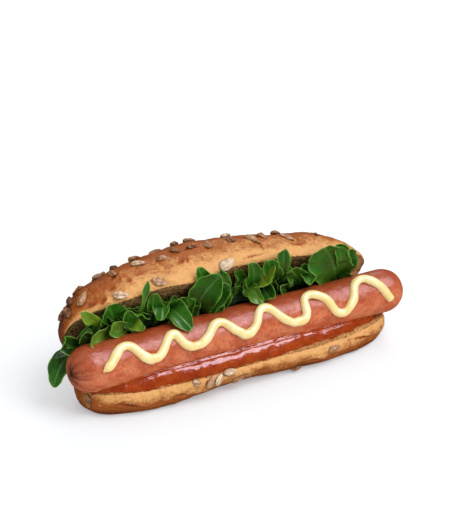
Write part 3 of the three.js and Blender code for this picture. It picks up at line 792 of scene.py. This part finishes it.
def crust_frame(point, x, angle, turn):
    """Where a seed or a scar lies on a crust: its centre, its length direction and the way out."""
    step = 0.01
    x = float(x)
    theta = math.radians(angle)
    turn = math.radians(turn)
    centre = point(x, theta)
    along_x = unit(point(x + step, theta) - point(x - step, theta))
    over = unit(point(x, theta + step) - point(x, theta - step))
    up = unit(np.cross(along_x, over))
    if point is crown_point:
        inside = swing(x, 0, 0)
    else:
        inside = np.array([x, 0 if centre[1] < 0 else centre[1] * 0.5, centre[2]])
    if np.dot(up, inside - centre) > 0:
        up = -up
    along = along_x * math.cos(turn) + over * math.sin(turn)
    along = unit(along - up * np.dot(along, up))
    return centre + up * 0.3, along, up


def seed_shape(point, row, number):
    """A flat kernel on a crust, pointed at one end, ridged lengthwise, with a slight bend."""
    x, angle, length, width, turn, tone = row
    centre, along, up = crust_frame(point, x, angle, turn)
    side = np.cross(up, along)
    rows, count = GRID["seed"]
    share = np.linspace(-0.48, 0.48, rows)[:, None]
    girth = np.sqrt(np.maximum(0.02, 1 - (share / 0.5) ** 2)) * (1 - 0.65 * (share + 0.15))
    girth = girth / girth.max()
    around = full_turn(count)
    ridge = np.cos((4 + number % 3) * around + number)
    ridges = 1 + 0.13 * ridge * girth
    across = width / 2 * girth * np.cos(around) * ridges
    lift = SEED_THICKNESS / 2 * girth**0.7 * signed_power(np.sin(around), 0.8) * ridges
    lift = lift + 0.35 * girth * np.maximum(0, np.sin(around)) ** 6
    lift = lift + 0.35 * np.sin(3 * share + number)
    parts = (share * length, across, lift)
    rings = centre + sum(part[..., None] * axis for part, axis in zip(parts, (along, side, up)))
    rings = push_out(rings, 0.28 * relief(rings + number, 1.3, 21))
    points, faces = skin(rings, centre - along * length / 2, centre + along * length / 2)
    # The shade value is painted shade: darker in the grooves between the ridges and towards the edges
    # and underside.
    groove = ease(-ridge) + 0 * share
    brim = 1 - np.clip(np.sin(around), 0, 1) ** 0.6 + 0 * share
    shade = with_poles(np.maximum(0.75 * groove, brim), 1, 1)
    return points, faces, {"tone": np.full(len(points), tone), "shade": shade}


def back_seed_rows():
    """Seeds scattered over the back of the top half."""
    draw = draws(BACK_SEED_DRAW)
    rows = []
    for number in range(BACK_SEEDS):
        x = -82 + 140 * next(draw) ** 1.5
        angle = 78 + 70 * next(draw)
        length = 6 + 3 * next(draw)
        width = 3.4 + 1.2 * next(draw)
        turn = 180 * next(draw)
        rows.append((x, angle, length, width, turn, 0.2 + 0.05 * (number % 12)))
    return rows


def seeds(material):
    rows = [(crown_point, row) for row in CROWN_SEEDS + back_seed_rows()]
    rows += [(heel_point, row) for row in HEEL_SEEDS]
    shape, values = join([seed_shape(*row, number) for number, row in enumerate(rows)])
    make_piece("bun_seeds", shape, "bun", "bread", material, **values)


# ---------- Sausage, mayonnaise and ketchup ----------

AXIS = np.array([SAUSAGE["y"], SAUSAGE["z"]])  # where the sausage axis lies, as y and z


def sausage_radius(x):
    """Radius of the sausage, falling to 0 over its rounded ends."""
    from_end = np.minimum(x - SAUSAGE["left"], SAUSAGE["right"] - x) / SAUSAGE["cap"]
    rounded = fullness(1 - np.minimum(from_end, 1), 2.2)
    return SAUSAGE["radius"] * np.where(from_end >= 1, 1.0, rounded)


def round_sausage(x, angle, radius):
    """Points round the sausage: angle 0 faces the front, pi / 2 is its top."""
    return together(x, AXIS[0] - radius * np.cos(angle), AXIS[1] + radius * np.sin(angle))


def from_axis(points):
    """How far points lie from the sausage axis."""
    return np.linalg.norm(points[..., 1:] - AXIS, axis=-1, keepdims=True)


def crease(angle, radius, from_pole):
    """How deep the gathered folds of the casing are at the left end, from 0 to about 1."""
    draw = draws(SAUSAGE["crease_draw"])
    total = np.zeros(np.broadcast_shapes(angle.shape, radius.shape))
    for number in range(SAUSAGE["creases"]):
        at = 2 * math.pi * (number + 0.7 * next(draw)) / SAUSAGE["creases"]
        low = 0.5 + 0.5 * math.cos(at)
        reach = (4.5 + 6 * next(draw)) * (0.55 + 0.7 * low)
        depth = (0.5 + 0.5 * next(draw)) * (0.7 + 0.3 * low)
        bend = 0.03 * (next(draw) - 0.5)
        turned = (angle - at - bend * from_pole + math.pi) % (2 * math.pi) - math.pi
        line = bump(turned * radius, 0, SAUSAGE["crease_width"])
        total = np.maximum(total, depth * line * bump(from_pole, 0, reach))
    return total * ease(from_pole / 0.8)


def sausage(material):
    middle, half = extent(SAUSAGE)
    steps, around = GRID["sausage"]
    share = np.linspace(-1, 1, steps + 1)[:, None]
    x = middle + 0.9998 * half * np.sin(math.pi / 2 * signed_power(share, 0.72))
    angle = full_turn(around)
    radius = sausage_radius(x)
    from_pole = np.hypot(x - SAUSAGE["left"], radius)
    groove = crease(angle, radius, from_pole)
    gather = bump(from_pole, 0, 3.2)
    rings = round_sausage(x, angle, radius)
    dimples = layered(rings, (0.3, 9, 31), (0.1, 3.2, 32), (0.035, 1.2, 33))
    crinkle = 0.12 * relief(rings * (1, 0.4, 0.4), 1.6, 34) * ease((x - 96) / 10)
    push = (dimples + crinkle) * ease(radius / 4) - SAUSAGE["crease_depth"] * groove - 0.3 * gather
    rings = push_out(rings, push)
    shape = skin(rings, [SAUSAGE["left"] + 0.5, *AXIS], [SAUSAGE["right"], *AXIS])
    around_pole = bump(from_pole, 0, 9) + 0 * groove
    values = {
        # The groove value also paints shade into the folds.
        "groove": with_poles(np.minimum(1, 1.2 * groove), 1, 0),
        "gather": with_poles(around_pole, 1, 0),
    }
    make_piece("sausage", shape, "sausage", "sausage", material, **values)


def smooth_route(corners, count):
    """Evenly spaced points on a smooth curve through the corners, with round bends."""
    padded = np.vstack([2 * corners[0] - corners[1], corners, 2 * corners[-1] - corners[-2]])
    slopes = MAYO["roundness"] * (padded[2:] - padded[:-2])
    u = np.linspace(0, 1, ROUTE_STEPS, endpoint=False)[:, None]
    fine = []
    for p, q, leave, arrive in zip(corners, corners[1:], slopes, slopes[1:]):
        square = 3 * (q - p) - 2 * leave - arrive
        cube = leave + arrive - 2 * (q - p)
        fine.append(p + leave * u + square * u**2 + cube * u**3)
    fine = np.vstack([*fine, corners[-1:]])
    run = np.concatenate([[0], np.cumsum(np.linalg.norm(np.diff(fine, axis=0), axis=1))])
    even = np.linspace(0, run[-1], count)
    return np.stack([np.interp(even, run, fine[:, axis]) for axis in range(3)], 1)


def mayo(material):
    count, around = GRID["mayo"]
    bends = np.array(ZIGZAG, float)
    corners = round_sausage(bends[:, 0], np.radians(bends[:, 1]), MAYO["centre"])
    route = smooth_route(corners, count)
    heading = unit(np.gradient(route, axis=0))
    out = unit((route - (0, *AXIS)) * (0, 1, 1))
    side = unit(np.cross(heading, out))
    lift = unit(np.cross(side, heading))
    place = np.linspace(0, 1, count)[:, None]
    start = np.sqrt(ease(0.2 + place * 45))
    stop = np.sqrt(ease(0.3 + (1 - place) * 160))
    thick = 1 + 0.05 * np.sin(place * 61) + 0.04 * np.sin(place * 143 + 1)
    radius = MAYO["radius"] * start * stop * thick
    turn = full_turn(around)
    across = radius * np.cos(turn) * 1.02
    rise = radius * np.sin(turn) * (1 - 0.06 * np.abs(np.sin(turn)))
    rings = route[:, None] + side[:, None] * across[..., None] + lift[:, None] * rise[..., None]
    rings = push_out(rings, 0.05 * relief(rings, 5, 41) * start)
    shape = skin(rings, route[0] - heading[0], route[-1] + heading[-1] * 0.3)
    make_piece("mayo", shape, "sausage", "sausage", material)


def ketchup_fill(x):
    """How full the bead is: thin under the left end of the sausage, full from the middle on."""
    rise = ease((x - KETCHUP["left"]) / 34)
    fall = ease((KETCHUP["right"] - x) / 16)
    lumps = 0.03 * np.sin(0.21 * x) + 0.02 * np.sin(0.47 * x + 1)
    return KETCHUP["thin"] + (1 - KETCHUP["thin"]) * rise * fall + lumps


def ketchup_front(x):
    """Front edge of the bead: it follows the lip of the bun and draws back from it at the right."""
    return -KETCHUP["reach"] * heel_width(x) * (1 - KETCHUP["draw_back"] * ease((x - 12) / 36))


def ketchup(material):
    """The bead of sauce, pressed against the sausage and lying on the bottom half."""
    middle, half = extent(KETCHUP)
    steps, around = GRID["ketchup"]
    x = stations(middle, half * 0.998, steps)
    turn = full_turn(around)
    end = fullness((x - middle) / half, 8)
    fill = ketchup_fill(x)
    spill = ease(0.5 + 0.9 * relief(np.concatenate([x, 0 * x, 0 * x], 1), 13, 54))
    front = ketchup_front(x) - KETCHUP["spill"] * spill[:, None]
    depth = (KETCHUP["back"] - front) / 2 * end
    height = KETCHUP["half_height"] * (1 - KETCHUP["flatter"] * ease((x - 20) / 50)) * fill * end
    before, above = np.cos(turn) > 0, np.sin(turn) > 0
    power = np.where(before & above, 1.0, np.where(before, 0.55, 0.85))
    y = (KETCHUP["back"] + front) / 2 - depth * signed_power(np.cos(turn), power)
    z = KETCHUP["z"] - KETCHUP["tuck_down"] * (1 - fill) + height * signed_power(np.sin(turn), power)
    rings = together(x, y, z)
    swell = 0.42 * relief(rings * (0.6, 1, 1), 6, 51) + 0.27 * relief(rings, 2.6, 52)
    rings = push_out(rings, swell * end)
    limit = sausage_radius(rings[..., :1]) + KETCHUP["clearance"]
    gap = (from_axis(rings) - limit)[..., 0]
    brim = 0.4 * bump(gap, 0, 0.5) - 0.3 * bump(gap, 1.4, 0.6)
    rings = push_out(rings, brim * end)
    push = np.maximum(1, limit / np.maximum(from_axis(rings), 0.1))
    rings[..., 1:] = AXIS + (rings[..., 1:] - AXIS) * push
    rings = rest_on_heel(rings)
    shape = skin(rings, rings[0].mean(axis=0), rings[-1].mean(axis=0))
    make_piece("ketchup", shape, "ketchup", "ketchup", material)


def rest_on_heel(rings):
    """Lays sauce on the cut face of the bottom half and lets it sag a little over the front lip."""
    x, y, z = np.moveaxis(rings, -1, 0)
    edge = heel_width(x) * crust_swell(x, 2)
    past_lip = ease((-y - lip_tuck(0) * edge) / 0.5)
    z = np.maximum(z, cut_height(y) - KETCHUP["soak"] - KETCHUP["sag"] * past_lip)
    below = np.clip((cut_height(y) - z) / BUN["heel_drop"], 0, 1)
    crust = edge * (1 - below**1.8) ** 0.56 * lip_tuck(below * BUN["heel_drop"])
    crust = crust + KETCHUP["clearance"]
    y = np.where((past_lip > 0) & (z < cut_height(y)), np.minimum(y, -crust), y)
    return np.stack([x, y, z], -1)


# ---------- Lettuce ----------


def solid_sheet(middle, thickness):
    """Points and faces of a thin closed sheet about a grid of points."""
    rows, columns = middle.shape[:2]
    normals = unit(np.cross(np.gradient(middle, axis=0), np.gradient(middle, axis=1)))
    offset = normals * np.reshape(thickness, (*np.shape(thickness), 1)) / 2
    points = np.concatenate([(middle + offset).reshape(-1, 3), (middle - offset).reshape(-1, 3)])
    index = np.arange(rows * columns).reshape(rows, columns)
    back = rows * columns
    corners = [index[:-1, :-1], index[1:, :-1], index[1:, 1:], index[:-1, 1:]]
    quads = np.stack(corners, -1).reshape(-1, 4)
    faces = quads.tolist() + (quads[:, ::-1] + back).tolist()
    rim = [*index[0, :], *index[1:, -1], *index[-1, -2::-1], *index[-2:0:-1, 0]]
    rim = [int(corner) for corner in rim]
    faces += [[a, b, b + back, a + back] for a, b in zip(rim, rim[1:] + rim[:1])]
    return points, faces


def leaf_shape(row, number, rows, columns):
    """A leaf: a bent midrib, cupped across, ruffled and rolled at its edges."""
    numbers = np.array(row, float)
    root, tip = numbers[:3], numbers[3:6]
    width, bend, turn, tint, point = numbers[6:]
    rib = tip - root
    length = np.linalg.norm(rib)
    along = rib / length
    face = unit(LEAF["face"] - along * np.dot(LEAF["face"], along))
    t = (1 - (1 - np.linspace(0, 1, rows)) ** 1.6)[:, None]
    turn = math.radians(turn) + math.radians(LEAF["twist"]) * math.sin(5.3 * number) * (t - 0.4)
    face = face * np.cos(turn) + np.cross(along, face) * np.sin(turn)
    side = np.cross(along, face)[:, None]
    face = face[:, None]
    s = np.sin(math.pi / 2 * np.linspace(-1, 1, columns))[None, :]
    from_tip = (1 - t) * length
    toward = 1 - np.minimum(from_tip / (width * (0.5 + 0.7 * point)), 1)
    spread = fullness(toward, 2.6 - 1.2 * point) * (1 - 0.5 * ease((from_tip / width - 1) / 2.2))
    half = np.maximum(0.2, width / 2 * spread)
    out = np.minimum(1, np.hypot(s * spread, toward))
    along_edge = np.tanh(4 * s) * from_tip + 0.8 * s * half
    phase = 2.1 * number
    half = half * (1 + 0.055 * np.sin(0.7 * along_edge + phase))
    half = half * (1 + LEAF["uneven"] * math.sin(1.9 * number + 2) * np.tanh(4 * s))
    cup = LEAF["cup"] * (0.4 + 1.0 * np.mod(0.618 * number, 1))
    wave = np.sin(2 * math.pi * along_edge / LEAF["wave"] + phase)
    wave = wave + 0.3 * np.sin(2 * math.pi * along_edge / (0.45 * LEAF["wave"]) + 3 * phase)
    roll = LEAF["roll"] * (0.4 + np.sin(0.45 * along_edge + 1.3 * number))
    lift = bend * np.sin(math.pi * t) + cup * width * out * out
    lift = lift + LEAF["ruffle"] * wave * out**2.4 + roll * ease((out - 0.7) / 0.3) ** 2
    bow = LEAF["bow"] * width * math.sin(2.9 * number + 1) * np.sin(math.pi * t)
    middle = root + rib * t[..., None] + np.zeros((rows, columns, 1))
    middle = middle + side * (s * half + bow)[..., None] + face * lift[..., None]
    quilt = 0.14 * relief(middle, 2.6, 61) * (1 - 0.5 * out) + 0.3 * relief(middle, 5, 62)
    middle = middle + face * quilt[..., None]
    thick = LEAF["thickness"] * (0.5 + 0.5 * (1 - out**2)) + 0 * t
    points, faces = solid_sheet(middle, thick)
    branch = np.abs(np.sin(math.pi * (from_tip / 2.4 + 0.55 * np.abs(s) * half)))
    vein = np.maximum(bump(s * half, 0, 0.35), 0.45 * bump(branch, 0, 0.2) * (1 - out))
    # Rim: the lighter margin, partly a painted highlight along the edge.
    rim = np.exp(-np.minimum((1 - np.abs(s)) * half, 0.7 * from_tip) / 0.3)
    # Painted shade towards the root, deep in the heap.
    deep = 1 - ease(t * max(1.4, length / 20))
    values = {"vein": vein, "rim": rim, "deep": deep, "tint": tint}
    for key, value in values.items():
        values[key] = np.tile(np.ravel(value + 0 * t * s), 2)
    return points, faces, values


def filler_rows():
    """Small dark leaves that fill the heap between the larger ones."""
    draw = draws(FILLER["draw"])
    rows = []
    for _ in range(FILLER["count"]):
        x = FILLER["left"] + (FILLER["right"] - FILLER["left"]) * next(draw)
        lean = 14 * (next(draw) - 0.5)
        reach = 6 + 7 * next(draw)
        low = 34 + 7 * next(draw)
        root = (x, 6 + 3 * next(draw), low)
        tip = (x + lean, 1 + 3 * next(draw), low + reach)
        width = 6 + 5 * next(draw)
        bend = 1 + 2 * next(draw)
        turn = 60 * (next(draw) - 0.5)
        rows.append((*root, *tip, width, bend, turn, 0.3 * next(draw), 0.3))
    return rows


def leaves(material):
    rows = [(row, GRID["leaf"]) for row in LEAVES]
    rows += [(row, GRID["filler"]) for row in filler_rows()]
    shapes = [leaf_shape(row, number, *grid) for number, (row, grid) in enumerate(rows)]
    shape, values = join(shapes)
    make_piece("lettuce_leaves", shape, "lettuce", "lettuce", material, **values)


def lettuce_core(material):
    """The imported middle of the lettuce, behind the sausage."""
    middle, half = extent(CORE)
    steps, around = GRID["core"]
    x = stations(middle, half * 0.99, steps)
    section = np.array(CORE["section"], float)
    corners = np.vstack([section, section[:1]])
    place = np.linspace(0, len(section), around, endpoint=False)
    ring_y, ring_z = (np.interp(place, range(len(corners)), line)[None, :] for line in corners.T)
    full = fullness((x - middle) / half, 3.4)
    top = (ring_z > CORE["top"]) * (2 * np.sin(0.16 * x) + 1.2 * np.sin(0.41 * x + 2))
    y = CORE["y"] + (ring_y - CORE["y"]) * full
    z = CORE["z"] + (ring_z + top - CORE["z"]) * full
    rings = soften(together(x, y, z), 4)
    crumple = layered(rings, (0.9, 4.5, 71), (0.5, 2, 72))
    poles = [(CORE[end], CORE["y"], CORE["z"]) for end in ("left", "right")]
    shape = skin(push_out(rings, crumple - 0.9), *poles)
    # The whole core is painted in the shade green.
    values = {key: np.full(len(shape[0]), number) for key, number in CORE["look"].items()}
    make_piece("lettuce_core", shape, "lettuce", "lettuce", material, **values)


# ---------- Stage ----------


def back_of(azimuth, elevation):
    """The direction from the part to a place round it; azimuth 0 is the front."""
    a, e = math.radians(azimuth), math.radians(elevation)
    return Vector((math.sin(a) * math.cos(e), -math.cos(a) * math.cos(e), math.sin(e)))


def look_from(thing, back):
    """Turns a camera or a light to look the other way than back."""
    thing.rotation_mode = "QUATERNION"
    thing.rotation_quaternion = (-back).to_track_quat("-Z", "Y")


def make_camera():
    data = bpy.data.cameras.new("camera")
    camera = new_object("camera", data)
    bpy.context.scene.camera = camera
    back = back_of(CAMERA["azimuth"], CAMERA["elevation"])
    camera.location = (Vector(CAMERA["aim"]) + CAMERA["distance"] * back) * MM
    look_from(camera, back_of(CAMERA["axis_azimuth"], CAMERA["axis_elevation"]))
    data.sensor_width = 36
    data.lens = data.sensor_width * CAMERA["focal_pixels"] / max(PICTURE.values())
    data.clip_start, data.clip_end = 0.01, 20


def make_light(name, azimuth, elevation, distance, size, power, lit, tint):
    data = bpy.data.lights.new(name, "AREA")
    data.shape = "DISK"
    data.size = size
    data.energy = power
    data.color = tint
    light = new_object(name, data)
    light.visible_diffuse = "diffuse" in lit
    light.visible_glossy = "glossy" in lit
    back = back_of(azimuth, elevation)
    light.location = back * distance
    look_from(light, back)


def make_floor():
    mesh = bpy.data.meshes.new("floor")
    reach = FLOOR_REACH
    corners = [(-reach, -reach, 0), (reach, -reach, 0), (reach, reach, 0), (-reach, reach, 0)]
    mesh.from_pydata(corners, [], [(0, 1, 2, 3)])
    s = Shader("floor", Specular_IOR_Level=0.0, Emission_Strength=0.3, Emission_Color=(*WHITE, 1.0))
    color = s.mix(s.noise(40, 2), "floor", "floor_patch")
    mesh.materials.append(s.finish(color, 0.9, s.bump(s.noise(5, 2), 0.01)))
    floor = new_object("floor", mesh)
    floor.visible_glossy = False


def make_world():
    world = bpy.data.worlds.new("studio")
    bpy.context.scene.world = world
    world.use_nodes = True
    background = world.node_tree.nodes["Background"]
    background.inputs["Color"].default_value = (*WHITE, 1.0)
    background.inputs["Strength"].default_value = WORLD_STRENGTH
    world.cycles_visibility.glossy = False
    bpy.context.scene.view_settings.view_transform = "Standard"


# ---------- The hot dog ----------

make_camera()
for row in LIGHTS:
    make_light(*row)
make_floor()
make_world()

bread = bread_material()
green = leaf_material()
crown(bread)
heel(bread)
seeds(seed_material())
sausage(sausage_material())
mayo(mayo_material())
ketchup(ketchup_material())
lettuce_core(green)
leaves(green)

bpy.context.view_layer.update()
